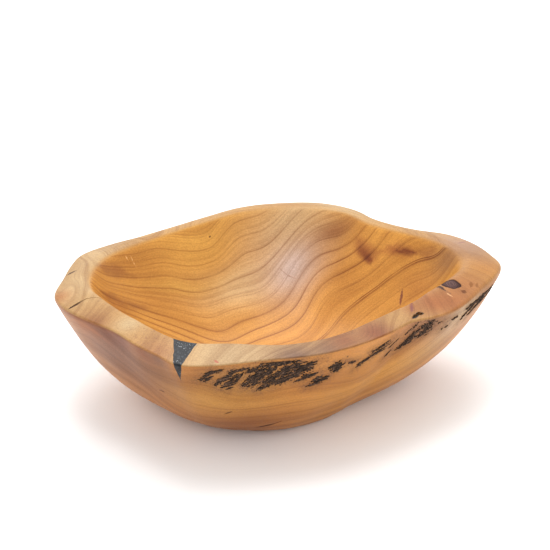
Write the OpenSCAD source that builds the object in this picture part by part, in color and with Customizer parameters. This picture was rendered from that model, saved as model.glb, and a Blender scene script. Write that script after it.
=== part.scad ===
// Hand-carved bowl with a live edge, cut from one piece of root wood.
// A cast resin wedge set with crushed stone fills a split in the rim, a dead
// knot sits in the right end of the rim, and the old bark is left in patches
// on the outside of the front wall.
// Origin: centre of the flat foot, on the table. +Z is up, +X is to the
// pointed end, and -Y is the side with the resin wedge and the bark.

/* [Bowl] */
// Overall length along X
bowl_length = 300; // [250:1:350]
// Overall width along Y
bowl_width = 233; // [200:1:280]
// Height of the rim's inner edge above the table
rim_height = 88; // [75:1:110]
// Thickness of wood under the deepest point of the hollow
floor_thickness = 15; // [10:1:25]

/* [Foot] */
// Length of the flat foot along X
foot_length = 112; // [90:1:125]
// Width of the flat foot along Y
foot_width = 86; // [70:1:95]

/* [Resin] */
// Width of the resin wedge at the rim's inner edge
resin_width = 17; // [10:1:24]
// Depth of the resin wedge under the rim
resin_depth = 19; // [12:1:26]
// Length of the largest stone chip
chip_size = 3; // [1:0.5:4]

/* [Knot and crack] */
// Diameter of the dead knot
knot_diameter = 12; // [6:1:16]
// Depth of the dead knot under the rim
knot_depth = 18; // [8:1:24]
// Width of the drying crack in the left end of the rim
crack_width = 0.8; // [0.4:0.1:1.5]
// Depth of the drying crack under the rim
crack_depth = 9; // [4:1:16]

/* [Bark] */
// Thickness of the bark in the middle of a patch
bark_thickness = 1.2; // [0.6:0.1:3]

/* [Hidden] */

// Rim stations, anticlockwise from the pointed end, drawn for a bowl of
// drawn_size about the rim's own centre, which isn't over the foot's:
// [bearing, inner radius, rim width, rise above rim_height,
//  outer edge rounding, inner edge rounding, fullness of the outer wall]
drawn_size = [300, 233];
rim_centre = [12, 10];
RIM = [
    [  5, 120, 29, 1.0, 5.0, 8, 3.0],
    [ 10, 125, 30, 1.0, 5.0, 8, 3.0],
    [ 15, 127, 26, 1.0, 5.0, 7, 3.1],
    [ 22, 126, 24, 0.5, 4.0, 6, 3.3],
    [ 31, 120, 22, 0.0, 4.0, 6, 3.3],
    [ 38, 113, 13, 0.0, 4.0, 5, 3.0],
    [ 46, 108, 11, 0.0, 4.0, 5, 2.7],
    [ 54, 106, 11, 0.5, 4.0, 5, 2.5],
    [ 61, 108, 13, 1.5, 4.0, 4, 2.3],
    [ 66, 110, 13, 2.0, 4.0, 4, 2.3],
    [ 76, 111, 14, 2.0, 4.0, 4, 2.3],
    [ 90, 110, 12, 1.5, 4.0, 4, 2.3],
    [105, 108, 11, 1.0, 4.0, 4, 2.3],
    [120, 104, 11, 0.0, 4.0, 4, 2.3],
    [133, 104, 11, 0.0, 4.0, 4, 2.3],
    [147, 110, 12, 0.0, 4.0, 5, 2.3],
    [156, 118, 16, 0.0, 3.0, 6, 2.3],
    [164, 125, 21, 0.0, 3.0, 6, 2.4],
    [170, 128, 20, 0.0, 3.0, 6, 2.5],
    [180, 130, 19, 0.5, 3.0, 6, 2.6],
    [188, 128, 25, 1.0, 3.0, 6, 2.6],
    [194, 123, 26, 1.0, 2.5, 5, 2.6],
    [203, 116, 22, 0.0, 2.0, 4, 2.5],
    [213, 111, 18, 0.0, 2.0, 3, 2.4],
    [224, 109, 18, 0.0, 1.5, 2, 2.2],
    [233, 108, 19, 0.0, 1.5, 2, 2.0],
    [240, 105, 23, 0.0, 1.5, 2, 1.9],
    [250,  97, 22, 0.0, 1.5, 2, 1.9],
    [260,  93, 17, -0.5, 1.5, 2, 1.9],
    [270,  91, 14, -1.0, 1.5, 2, 1.9],
    [285,  88, 14, -1.0, 1.5, 2, 1.7],
    [300,  85, 15, -0.5, 1.5, 2, 1.4],
    [313,  84, 16, 0.0, 1.5, 2, 1.4],
    [325,  86, 16, 0.0, 2.0, 2, 1.4],
    [332,  89, 21, 0.0, 2.0, 3, 1.4],
    [340,  93, 26, 0.0, 3.0, 4, 1.6],
    [348,  98, 29, 0.5, 4.0, 6, 2.0],
    [357, 109, 28, 1.0, 5.0, 7, 2.6],
];

rim_slope = 0.2;         // fall of the rim's top, outwards
toe_slope = 0.15;        // share of the outer wall's rise that is straight
hollow_power = 3;        // power of the hollow's profile
edge_run = 0.6;          // share of an edge's rounding that is level, on a wall
first_bearing = 5;
segments = 120;
outer_steps = 24;
inner_steps = 10;
edge_steps = 3;
stretch = [bowl_length / drawn_size[0], bowl_width / drawn_size[1]];

// Smooth curve through the stations, closed at 360 degrees
function station(i) =
    let (turn = floor(i / len(RIM)))
    RIM[i - turn * len(RIM)] + [360 * turn, 0, 0, 0, 0, 0, 0];
function slope_at(i) =
    let (before = station(i - 1), after = station(i + 1))
    (after - before) / (after[0] - before[0]);
function span_of(a) = len([for (s = RIM) if (s[0] <= a) 1]) - 1;
function rim_at(a) =
    let (
        i = span_of(a),
        p = station(i),
        q = station(i + 1),
        h = q[0] - p[0],
        t = (a - p[0]) / h
    )
    p * (2 * t * t * t - 3 * t * t + 1) + slope_at(i) * h * (t * t * t - 2 * t * t + t)
    + q * (3 * t * t - 2 * t * t * t) + slope_at(i + 1) * h * (t * t * t - t * t);

// Places in plan
function on_rim(a, r) = [
    (rim_centre[0] + r * cos(a)) * stretch[0],
    (rim_centre[1] + r * sin(a)) * stretch[1]
];
function on_foot(a) = [foot_length / 2 * cos(a), foot_width / 2 * sin(a)];
function at(plan, z) = [plan[0], plan[1], z];

// One section at bearing a: foot, outer wall, rim and hollow
function rise(u, fullness) = toe_slope * u + (1 - toe_slope) * pow(u, fullness);
function outer_point(a, s, u) =
    let (z_out = rim_height + s[3] - rim_slope * s[2])
    at(on_foot(a) * (1 - u) + on_rim(a, s[1] + s[2]) * u, z_out * rise(u, s[6]));
function inner_point(a, s, v) =
    at(
        on_rim(a, s[1] * v),
        floor_thickness + (rim_height + s[3] - floor_thickness) * pow(v, hollow_power)
    );
function top_point(a, s, w) = at(on_rim(a, s[1] + w), rim_height + s[3] - rim_slope * w);
function outer_end(a, s) = 1 - s[4] * edge_run / norm(on_rim(a, s[1] + s[2]) - on_foot(a));
function inner_end(s) = 1 - s[5] * edge_run / s[1];
function bend(a, b, c) = [
    for (i = [0 : edge_steps])
        let (t = i / edge_steps)
        a * (1 - t) * (1 - t) + 2 * b * t * (1 - t) + c * t * t
];
function section(a) =
    let (s = rim_at(a), u_end = outer_end(a, s), v_end = inner_end(s))
    concat(
        [for (i = [0 : outer_steps - 1]) outer_point(a, s, u_end * i / outer_steps)],
        bend(outer_point(a, s, u_end), top_point(a, s, s[2]), top_point(a, s, s[2] - s[4])),
        bend(top_point(a, s, s[5]), top_point(a, s, 0), inner_point(a, s, v_end)),
        [for (i = [1 : inner_steps - 1]) inner_point(a, s, v_end * (1 - i / inner_steps))]
    );

bearings = [for (i = [0 : segments - 1]) first_bearing + 360 * i / segments];
sections = [for (a = bearings) section(a)];
rings = len(sections[0]);

// The solid bowl, before the split, knot and crack
module blank() {
    points = concat([[0, 0, 0]], [for (s = sections) each s], [at(on_rim(0, 0), floor_thickness)]);
    top = len(points) - 1;
    function corner(i, j) = 1 + (i % segments) * rings + j;
    faces = concat(
        [for (i = [0 : segments - 1]) [0, corner(i, 0), corner(i + 1, 0)]],
        [for (i = [0 : segments - 1]) for (j = [0 : rings - 2])
            [corner(i, j), corner(i, j + 1), corner(i + 1, j)]],
        [for (i = [0 : segments - 1]) for (j = [0 : rings - 2])
            [corner(i, j + 1), corner(i + 1, j + 1), corner(i + 1, j)]],
        [for (i = [0 : segments - 1]) [corner(i, rings - 1), top, corner(i + 1, rings - 1)]]
    );
    polyhedron(points = points, faces = faces, convexity = 4);
}

// V-shaped trough that the resin was poured into, narrowing outwards
resin_in = on_rim(236, 108);      // middle of its mouth on the rim's inner edge
resin_out = on_rim(241, 128);     // middle of its mouth on the rim's outer edge
resin_overrun = 9;                // how far the trough runs past each edge
resin_taper = 0.21;               // half the width lost for each mm outwards
module resin_trough() {
    along = (resin_out - resin_in) / norm(resin_out - resin_in);
    side = [-along[1], along[0]];
    start = resin_in - along * resin_overrun;
    end = resin_out + along * resin_overrun;
    flare = 1 + resin_overrun / resin_depth;
    start_spread = side * flare * (resin_width / 2 + resin_taper * resin_overrun);
    end_spread = start_spread - side * flare * resin_taper * norm(end - start);
    top = rim_height + resin_overrun;
    bottom = rim_height - resin_depth;
    polyhedron(
        points = [
            at(start - start_spread, top), at(start + start_spread, top),
            at(end - end_spread, top), at(end + end_spread, top),
            at(start, bottom), at(end, bottom)
        ],
        faces = [[0, 1, 3, 2], [0, 4, 1], [2, 3, 5], [0, 2, 5], [0, 5, 4], [1, 4, 5], [1, 5, 3]]
    );
}

// Stone chips pressed into the resin, sanded flush with the rim:
// [distance outwards from the mouth, distance sideways, size, turn]
CHIPS = [
    [ 3, -5.0, 1.0, 20],
    [ 3,  0.5, 0.8, 65],
    [ 4,  4.5, 0.7, 10],
    [ 8, -2.5, 0.8, 50],
    [ 9,  2.0, 0.9, 35],
    [14, -1.0, 0.6, 75],
    [15,  2.0, 0.5, 15],
    [20,  0.0, 0.6, 40],
];
chip_tilt = 25;
module chips() {
    heading = atan2(resin_out[1] - resin_in[1], resin_out[0] - resin_in[0]);
    for (c = CHIPS)
        translate(at(resin_in, rim_height - rim_slope * c[0]))
        rotate(heading)
        translate([c[0], c[1], 0])
        rotate([chip_tilt, 0, c[3]])
        cube(chip_size * c[2], center = true);
}

// Dead knot: a plug of old branch wood, loose in its own round socket
knot_place = on_rim(354, 114);
knot_sides = 48;
module knot_socket() {
    translate(at(knot_place, rim_height - knot_depth))
    cylinder(d = knot_diameter, h = 2 * knot_depth, $fn = knot_sides);
}

// Drying crack, a thin slot that follows the grain across the rim
CRACK = [on_rim(195, 120), on_rim(194, 131), on_rim(196, 138), on_rim(197, 144)];
module crack() {
    for (i = [0 : len(CRACK) - 2])
        let (run = CRACK[i + 1] - CRACK[i])
        translate(at(CRACK[i], rim_height - crack_depth))
        rotate(atan2(run[1], run[0]))
        translate([0, -crack_width / 2, 0])
        cube([norm(run), crack_width, 2 * crack_depth]);
}

// Bark patches, each an oval cushion let into the outer wall, leaning with
// the grain. It stands proud in the middle and dips into the wood all round:
// [bearing, share of the way up the wall, half length, half height, lean]
bark_root = 1.2;         // depth of a patch's root in the wood
bark_dip = 0.4;          // depth of a patch's edge in the wood
bark_sides = 16;
bark_rings = 3;
nudge = 0.01;
module bark_oval(o) {
    middle = rim_at(o[0]);
    radius = norm(on_rim(o[0], middle[1] + middle[2]) - rim_centre);
    climb = norm(outer_point(o[0], middle, o[1]) - outer_point(o[0], middle, o[1] - nudge)) / nudge;
    function spot(dx, dy) = let (a = o[0] + dx / radius * 180 / PI)
        outer_point(a, rim_at((a + 360 - first_bearing) % 360 + first_bearing), o[1] + dy / climb);
    function outward(dx, dy) =
        let (n = cross(spot(dx + 1, dy) - spot(dx, dy), spot(dx, dy + 1) - spot(dx, dy)))
        n / norm(n);
    function layer(t, k, proud) =
        let (
            x = t * o[2] * cos(360 * k / bark_sides),
            y = t * o[3] * sin(360 * k / bark_sides),
            dx = x * cos(o[4]) - y * sin(o[4]),
            dy = x * sin(o[4]) + y * cos(o[4])
        )
        spot(dx, dy) + outward(dx, dy) * (proud * (1 - t * t) - bark_dip * t * t);
    function sheet(proud) = [
        for (r = [1 : bark_rings - 1]) for (k = [0 : bark_sides - 1]) layer(r / bark_rings, k, proud)
    ];
    inner = (bark_rings - 1) * bark_sides;
    edge = 2 + 2 * inner;
    function spoke(side, r, k) =
        r == bark_rings ? edge + k % bark_sides : 2 + side * inner + (r - 1) * bark_sides + k % bark_sides;
    function facing(side, triangle) = side == 0 ? triangle : [triangle[2], triangle[1], triangle[0]];
    faces = [
        for (side = [0, 1])
        for (k = [0 : bark_sides - 1])
        each concat(
            [facing(side, [side, spoke(side, 1, k + 1), spoke(side, 1, k)])],
            [for (r = [1 : bark_rings - 1])
                facing(side, [spoke(side, r, k), spoke(side, r + 1, k + 1), spoke(side, r + 1, k)])],
            [for (r = [1 : bark_rings - 1])
                facing(side, [spoke(side, r, k), spoke(side, r, k + 1), spoke(side, r + 1, k + 1)])]
        )
    ];
    polyhedron(
        points = concat(
            [layer(0, 0, bark_thickness), layer(0, 0, -bark_root)],
            sheet(bark_thickness),
            sheet(-bark_root),
            [for (k = [0 : bark_sides - 1]) layer(1, k, 0)]
        ),
        faces = faces
    );
}

BARK_FRONT = [[249, 0.93, 13, 5, 12], [260, 0.90, 20, 10, 22], [274, 0.92, 17, 8, 14]];
BARK_DROP = [[290, 0.89, 6, 4, 15]];
BARK_SLIVER = [[282, 0.80, 11, 3.5, 25]];
BARK_STREAK = [[305, 0.87, 16, 4, 33]];
BARK_CORNER = [[330.5, 0.92, 9, 6, 10], [324, 0.81, 12, 4, 48]];
BARK_FLAKES = [[339.5, 0.87, 4, 2.5, 40], [345, 0.91, 4.5, 2, 30]];
BARK_END = [[357, 0.93, 20, 4.5, 22]];
module bark(ovals) { for (o = ovals) bark_oval(o); }

module bowl_body() {
    color("peru")
    difference() {
        blank();
        resin_trough();
        knot_socket();
        crack();
        bark(concat(BARK_FRONT, BARK_DROP, BARK_SLIVER, BARK_STREAK, BARK_CORNER, BARK_FLAKES, BARK_END));
    }
}

module resin_wedge() {
    color("dimgray")
    difference() {
        intersection() {
            blank();
            resin_trough();
        }
        chips();
    }
}

module stone_chips() {
    color("silver")
    intersection() {
        blank();
        resin_trough();
        chips();
    }
}

module rim_knot() {
    color("rosybrown")
    intersection() {
        blank();
        knot_socket();
    }
}

module bark_front() { color("saddlebrown") bark(BARK_FRONT); }
module bark_drop() { color("saddlebrown") bark(BARK_DROP); }
module bark_sliver() { color("saddlebrown") bark(BARK_SLIVER); }
module bark_streak() { color("saddlebrown") bark(BARK_STREAK); }
module bark_corner() { color("saddlebrown") bark(BARK_CORNER); }
module bark_flakes() { color("saddlebrown") bark(BARK_FLAKES); }
module bark_end() { color("saddlebrown") bark(BARK_END); }

bowl_body();
resin_wedge();
stone_chips();
rim_knot();
bark_front();
bark_drop();
bark_sliver();
bark_streak();
bark_corner();
bark_flakes();
bark_end();
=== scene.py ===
import math
import random

import bpy
import numpy as np
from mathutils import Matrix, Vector, noise


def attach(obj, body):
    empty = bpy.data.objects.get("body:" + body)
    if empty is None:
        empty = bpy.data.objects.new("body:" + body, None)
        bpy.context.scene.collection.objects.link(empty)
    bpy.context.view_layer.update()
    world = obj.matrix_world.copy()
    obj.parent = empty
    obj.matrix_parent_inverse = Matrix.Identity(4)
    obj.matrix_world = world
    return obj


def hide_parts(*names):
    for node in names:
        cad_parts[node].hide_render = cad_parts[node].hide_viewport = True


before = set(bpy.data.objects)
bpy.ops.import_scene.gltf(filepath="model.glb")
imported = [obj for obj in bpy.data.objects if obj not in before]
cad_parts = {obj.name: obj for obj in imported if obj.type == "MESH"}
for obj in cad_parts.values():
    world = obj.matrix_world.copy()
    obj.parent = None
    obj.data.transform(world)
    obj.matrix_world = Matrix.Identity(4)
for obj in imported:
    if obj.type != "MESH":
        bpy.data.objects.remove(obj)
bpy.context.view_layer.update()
MM = 0.001


# ---------------------------------------------------------------- the wooden bowl
# One piece of root wood, hollowed and sanded by hand, then oiled. The rim is a
# broad band that slopes outwards; the outside is left close to the root's own
# shape. It stands on a flat oval foot.

# Rim stations, anticlockwise from the pointed end, in mm about the rim's centre:
# bearing, inner radius, rim width, rise over the rim's height,
# outer edge rounding, inner edge rounding, fullness of the outer wall
RIM = [
    (5, 120, 29, 1.0, 5.0, 8, 3.0),
    (10, 125, 30, 1.0, 5.0, 8, 3.0),
    (15, 127, 26, 1.0, 5.0, 7, 3.1),
    (22, 126, 24, 0.5, 4.0, 6, 3.3),
    (31, 120, 22, 0.0, 4.0, 6, 3.3),
    (38, 113, 13, 0.0, 4.0, 5, 3.0),
    (46, 108, 11, 0.0, 4.0, 5, 2.7),
    (54, 106, 11, 0.5, 4.0, 5, 2.5),
    (61, 108, 13, 1.5, 4.0, 4, 2.3),
    (66, 110, 13, 2.0, 4.0, 4, 2.3),
    (76, 111, 14, 2.0, 4.0, 4, 2.3),
    (90, 110, 12, 1.5, 4.0, 4, 2.3),
    (105, 108, 11, 1.0, 4.0, 4, 2.3),
    (120, 104, 11, 0.0, 4.0, 4, 2.3),
    (133, 104, 11, 0.0, 4.0, 4, 2.3),
    (147, 110, 12, 0.0, 4.0, 5, 2.3),
    (156, 118, 16, 0.0, 3.0, 6, 2.3),
    (164, 125, 21, 0.0, 3.0, 6, 2.4),
    (170, 128, 20, 0.0, 3.0, 6, 2.5),
    (180, 130, 19, 0.5, 3.0, 6, 2.6),
    (188, 128, 25, 1.0, 3.0, 6, 2.6),
    (194, 123, 26, 1.0, 2.5, 5, 2.6),
    (203, 116, 22, 0.0, 2.0, 4, 2.5),
    (213, 111, 18, 0.0, 2.0, 3, 2.4),
    (224, 109, 18, 0.0, 1.5, 2, 2.2),
    (233, 108, 19, 0.0, 1.5, 2, 2.0),
    (240, 105, 23, 0.0, 1.5, 2, 1.9),
    (250, 97, 22, 0.0, 1.5, 2, 1.9),
    (260, 93, 17, -0.5, 1.5, 2, 1.9),
    (270, 91, 14, -1.0, 1.5, 2, 1.9),
    (285, 88, 14, -1.0, 1.5, 2, 1.7),
    (300, 85, 15, -0.5, 1.5, 2, 1.4),
    (313, 84, 16, 0.0, 1.5, 2, 1.4),
    (325, 86, 16, 0.0, 2.0, 2, 1.4),
    (332, 89, 21, 0.0, 2.0, 3, 1.4),
    (340, 93, 26, 0.0, 3.0, 4, 1.6),
    (348, 98, 29, 0.5, 4.0, 6, 2.0),
    (357, 109, 28, 1.0, 5.0, 7, 2.6),
]
RIM_CENTRE = np.array([12.0, 10.0])
RIM_HEIGHT = 88.0
FLOOR = 15.0                       # wood under the deepest point
FOOT = np.array([56.0, 43.0])      # half length and half width of the foot
RIM_SLOPE = 0.2
TOE_SLOPE = 0.15
HOLLOW_POWER = 3.0
EDGE_RUN = 0.6


def rim_at(bearing):
    """The rim's measures at each bearing in degrees, on a smooth closed curve through the stations."""
    table = np.array(RIM, float)
    turn = np.array([360.0] + [0.0] * 6)
    table = np.vstack([table[-2:] - turn, table, table[:3] + turn])
    a = (np.asarray(bearing, float) - table[2, 0]) % 360 + table[2, 0]
    i = np.clip(np.searchsorted(table[:, 0], a, side="right") - 1, 2, len(table) - 3)
    before, p, q, after = table[i - 1], table[i], table[i + 1], table[i + 2]
    h = (q[:, 0] - p[:, 0])[:, None]
    t = ((a - p[:, 0]) / h[:, 0])[:, None]
    slope_p = (q - before) / (q[:, :1] - before[:, :1]) * h
    slope_q = (after - p) / (after[:, :1] - p[:, :1]) * h
    return (
        p * (2 * t**3 - 3 * t**2 + 1) + slope_p * (t**3 - 2 * t**2 + t)
        + q * (3 * t**2 - 2 * t**3) + slope_q * (t**3 - t**2)
    )


def on_rim(bearing, radius):
    a = np.radians(bearing)
    return np.stack([RIM_CENTRE[0] + radius * np.cos(a), RIM_CENTRE[1] + radius * np.sin(a)], -1)


def on_foot(bearing):
    a = np.radians(bearing)
    return np.stack([FOOT[0] * np.cos(a), FOOT[1] * np.sin(a)], -1)


def with_height(plan, z):
    return np.concatenate([plan, np.asarray(z)[..., None]], -1)


def outer_point(a, s, u):
    z_out = RIM_HEIGHT + s[:, 3] - RIM_SLOPE * s[:, 2]
    u = np.asarray(u) * np.ones(len(s))
    plan = on_foot(a) * (1 - u)[:, None] + on_rim(a, s[:, 1] + s[:, 2]) * u[:, None]
    return with_height(plan, z_out * (TOE_SLOPE * u + (1 - TOE_SLOPE) * u ** s[:, 6]))


def top_point(a, s, w):
    return with_height(on_rim(a, s[:, 1] + w), RIM_HEIGHT + s[:, 3] - RIM_SLOPE * w)


def inner_point(a, s, v):
    v = np.asarray(v) * np.ones(len(s))
    z = FLOOR + (RIM_HEIGHT + s[:, 3] - FLOOR) * v**HOLLOW_POWER
    return with_height(on_rim(a, s[:, 1] * v), z)


def bend(a, b, c, t):
    return a * (1 - t) ** 2 + 2 * b * t * (1 - t) + c * t * t


SECTIONS = 384
FOOT_STEPS, OUTER_STEPS, EDGE_STEPS, TOP_STEPS, INNER_STEPS = 8, 92, 9, 26, 92


def carve(sections=SECTIONS):
    """Rings of points from the foot's middle, up the outside, over the rim and down into the hollow."""
    a = np.arange(sections) * 360.0 / sections
    s = rim_at(a)
    reach = np.linalg.norm(on_rim(a, s[:, 1] + s[:, 2]) - on_foot(a), axis=1)
    u_end = 1 - s[:, 4] * EDGE_RUN / reach
    v_end = 1 - s[:, 5] * EDGE_RUN / s[:, 1]
    foot = with_height(on_foot(a), np.zeros(sections))
    rings = [foot * (i / FOOT_STEPS) for i in range(1, FOOT_STEPS)]
    rings += [outer_point(a, s, u_end * i / OUTER_STEPS) for i in range(OUTER_STEPS)]
    corner, inset = top_point(a, s, s[:, 2]), top_point(a, s, s[:, 2] - s[:, 4])
    wall = outer_point(a, s, u_end)
    rings += [bend(wall, corner, inset, i / EDGE_STEPS) for i in range(EDGE_STEPS)]
    band = s[:, 2] - s[:, 4] - s[:, 5]
    rings += [top_point(a, s, s[:, 5] + band * (1 - i / TOP_STEPS)) for i in range(TOP_STEPS)]
    lip, edge, wall = top_point(a, s, s[:, 5]), top_point(a, s, 0), inner_point(a, s, v_end)
    rings += [bend(lip, edge, wall, i / EDGE_STEPS) for i in range(EDGE_STEPS)]
    rings += [inner_point(a, s, v_end * (1 - i / INNER_STEPS)) for i in range(INNER_STEPS)]
    return np.array(rings)


def coordinates(obj):
    co = np.empty(len(obj.data.vertices) * 3, np.float32)
    obj.data.vertices.foreach_get("co", co)
    return co.reshape(-1, 3).astype(float)


def set_coordinates(obj, co):
    obj.data.vertices.foreach_set("co", np.asarray(co, np.float32).ravel())
    obj.data.update()


def settle(obj, name):
    """Names a piece, makes its place part of its mesh, and deselects."""
    obj.name = name
    obj.data.name = name
    bpy.ops.object.select_all(action="DESELECT")
    obj.select_set(True)
    bpy.context.view_layer.objects.active = obj
    bpy.ops.object.transform_apply(location=True, rotation=True, scale=True)
    bpy.ops.object.select_all(action="DESELECT")
    return obj


def carved_sphere(name, sections=SECTIONS):
    """A sphere whose circles of latitude are pulled to the bowl's rings, from foot to hollow."""
    rings = carve(sections)
    bpy.ops.object.select_all(action="DESELECT")
    bpy.ops.mesh.primitive_uv_sphere_add(segments=sections, ring_count=len(rings) + 1, radius=1)
    ball = bpy.context.active_object
    co = coordinates(ball)
    turn = np.round(np.degrees(np.arctan2(co[:, 1], co[:, 0])) % 360 / (360 / sections)).astype(int)
    level = np.round(np.degrees(np.arccos(np.clip(-co[:, 2], -1, 1))) / (180 / (len(rings) + 1))).astype(int)
    shape = np.zeros_like(co)
    between = (level > 0) & (level <= len(rings))
    shape[between] = rings[level[between] - 1, turn[between] % sections]
    shape[level > len(rings)] = (RIM_CENTRE[0], RIM_CENTRE[1], FLOOR)
    set_coordinates(ball, shape * MM)
    return settle(ball, name)


wood = carved_sphere("bowl_wood")


def smooth(x, low, high):
    """From 0 at low to 1 at high, level at both."""
    t = np.clip((x - low) / (high - low), 0, 1)
    return t * t * (3 - 2 * t)


SANDING = 0.45                     # how far the sanding wanders, in mm


def sand(co):
    """The slow unevenness of hand sanding, full from 30 mm up and none below 12 mm."""
    flat = co[:, :2] - RIM_CENTRE * MM
    out = np.stack([flat[:, 0], flat[:, 1], np.zeros(len(co))], -1)
    out /= np.maximum(np.linalg.norm(out, axis=1), MM)[:, None]
    push = np.array([noise.noise(Vector(p) * 32) + 0.4 * noise.noise(Vector(p) * 80) for p in co])
    push = push * SANDING * MM * smooth(co[:, 2] / MM, 12, 30)
    return co + out * push[:, None]


# Vector noise starts from the clock unless it is given a seed
noise.seed_set(7)
set_coordinates(wood, sand(coordinates(wood)))


def copy_of(obj, name):
    twin = obj.copy()
    twin.data = obj.data.copy()
    twin.name = name
    twin.data.name = name
    bpy.context.scene.collection.objects.link(twin)
    return twin


def cut(obj, tool, operation="DIFFERENCE"):
    step = obj.modifiers.new("cut", "BOOLEAN")
    step.object = tool
    step.operation = operation
    step.solver = "MANIFOLD"
    bpy.context.view_layer.objects.active = obj
    bpy.ops.object.modifier_apply(modifier=step.name)


def wedge_tool(name, corners, steps, wave):
    """A cube subdivided and pulled to eight corners in mm, its sides hollow and a little wavy."""
    bpy.ops.object.select_all(action="DESELECT")
    bpy.ops.mesh.primitive_cube_add(size=2)
    tool = bpy.context.active_object
    bpy.ops.object.mode_set(mode="EDIT")
    bpy.ops.mesh.select_all(action="SELECT")
    bpy.ops.mesh.subdivide(number_cuts=steps)
    bpy.ops.object.mode_set(mode="OBJECT")
    t = (coordinates(tool) + 1) / 2
    t[:, 0] = 0.5 + (t[:, 0] - 0.5) * np.maximum(t[:, 2], 0.02) ** 0.45
    place = np.zeros_like(t)
    for index, corner in enumerate(corners):
        pick = [(index >> axis) & 1 for axis in (2, 1, 0)]
        share = np.prod([t[:, k] if pick[k] else 1 - t[:, k] for k in range(3)], axis=0)
        place += share[:, None] * np.array(corner, float)
    push = np.array([noise.noise_vector(Vector(p) * 0.22) for p in place])
    set_coordinates(tool, (place + push * wave) * MM)
    bpy.ops.object.mode_set(mode="EDIT")
    bpy.ops.mesh.select_all(action="SELECT")
    bpy.ops.mesh.normals_make_consistent(inside=False)
    bpy.ops.object.mode_set(mode="OBJECT")
    return settle(tool, name)


# The split that was later filled: a V that narrows outwards and runs out down
# the outer wall. Corners in mm: the left side at the hollow and then at the
# wall, each at the bottom and then at the top, and the right side likewise.
TROUGH_CORNERS = [
    (-44.5, -68.0, 70.0), (-65.5, -67.5, 98.0), (-52.2, -98.2, 67.0), (-58.8, -104.5, 98.0),
    (-43.5, -68.5, 70.0), (-30.0, -74.0, 98.0), (-51.5, -98.4, 67.0), (-46.5, -105.0, 98.0),
]
trough = wedge_tool("trough", TROUGH_CORNERS, steps=9, wave=0.7)
pour = copy_of(wood, "resin_body")
cut(pour, trough, "INTERSECT")
cut(wood, trough)

# The dead knot's socket, and a drying crack and a worm hole in the rim, in mm
KNOT = (123.8, -1.4)
KNOT_RADIUS = 6.0
KNOT_HEIGHT, KNOT_HALF_DEPTH = 83, 14
KNOT_GAP = 0.12                    # between the knot and its socket


def knot_tool(name, shrink):
    """A slightly uneven round plug, from under the rim to above it."""
    bpy.ops.object.select_all(action="DESELECT")
    bpy.ops.mesh.primitive_cylinder_add(vertices=72, radius=1, depth=2)
    tool = bpy.context.active_object
    co = coordinates(tool)
    a = np.arctan2(co[:, 1], co[:, 0])
    radius = KNOT_RADIUS + 0.8 * np.sin(2 * a + 1.3) + 0.35 * np.sin(5 * a + 2) - shrink
    plan = np.stack([KNOT[0] + radius * np.cos(a), KNOT[1] + radius * np.sin(a)], -1)
    set_coordinates(tool, with_height(plan, KNOT_HEIGHT + KNOT_HALF_DEPTH * co[:, 2]) * MM)
    return settle(tool, name)


socket = knot_tool("socket", 0.0)
plug = copy_of(wood, "knot_plug")
plug_shape = knot_tool("plug_shape", KNOT_GAP)
cut(plug, plug_shape, "INTERSECT")
cut(wood, socket)


def slit_tool(name, path, widths, low, high):
    """A thin blade that follows a path in plan, from one height to another, in mm."""
    n = len(path)
    bpy.ops.object.select_all(action="DESELECT")
    bpy.ops.mesh.primitive_grid_add(x_subdivisions=n - 1, y_subdivisions=2, size=2)
    tool = bpy.context.active_object
    bpy.ops.object.mode_set(mode="EDIT")
    bpy.ops.mesh.select_all(action="SELECT")
    bpy.ops.mesh.extrude_region_move(TRANSFORM_OT_translate={"value": (0, 0, 1)})
    bpy.ops.mesh.select_all(action="SELECT")
    bpy.ops.mesh.normals_make_consistent(inside=False)
    bpy.ops.object.mode_set(mode="OBJECT")
    co = coordinates(tool)
    step = np.round((co[:, 0] + 1) / 2 * (n - 1)).astype(int)
    middle = np.array(path, float)
    ahead = np.gradient(middle, axis=0)
    side = np.stack([-ahead[:, 1], ahead[:, 0]], -1) / np.linalg.norm(ahead, axis=1)[:, None]
    plan = middle[step] + side[step] * (co[:, 1] * np.array(widths, float)[step] / 2)[:, None]
    set_coordinates(tool, np.column_stack([plan, np.where(co[:, 2] > 0.5, high, low)]) * MM)
    return settle(tool, name)


CRACK = [(-104, -23), (-108, -22.5), (-112, -22), (-116, -22.5), (-120, -25), (-124, -28), (-127, -31)]
CRACK_WIDTHS = [0.05, 0.35, 0.4, 0.55, 0.85, 0.7, 0.1]
WORM_HOLE = [(94.6, -44.5), (96, -43), (98, -40.6), (99.8, -39.4), (101.6, -38.8)]
WORM_HOLE_WIDTHS = [0.2, 1.5, 1.4, 3.4, 0.8]
crack = slit_tool("crack", CRACK, CRACK_WIDTHS, low=80, high=95)
cut(wood, crack)
worm_hole = slit_tool("worm_hole", WORM_HOLE, WORM_HOLE_WIDTHS, low=81, high=95)
cut(wood, worm_hole)
for tool in (trough, socket, plug_shape, crack, worm_hole):
    bpy.data.objects.remove(tool)

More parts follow.
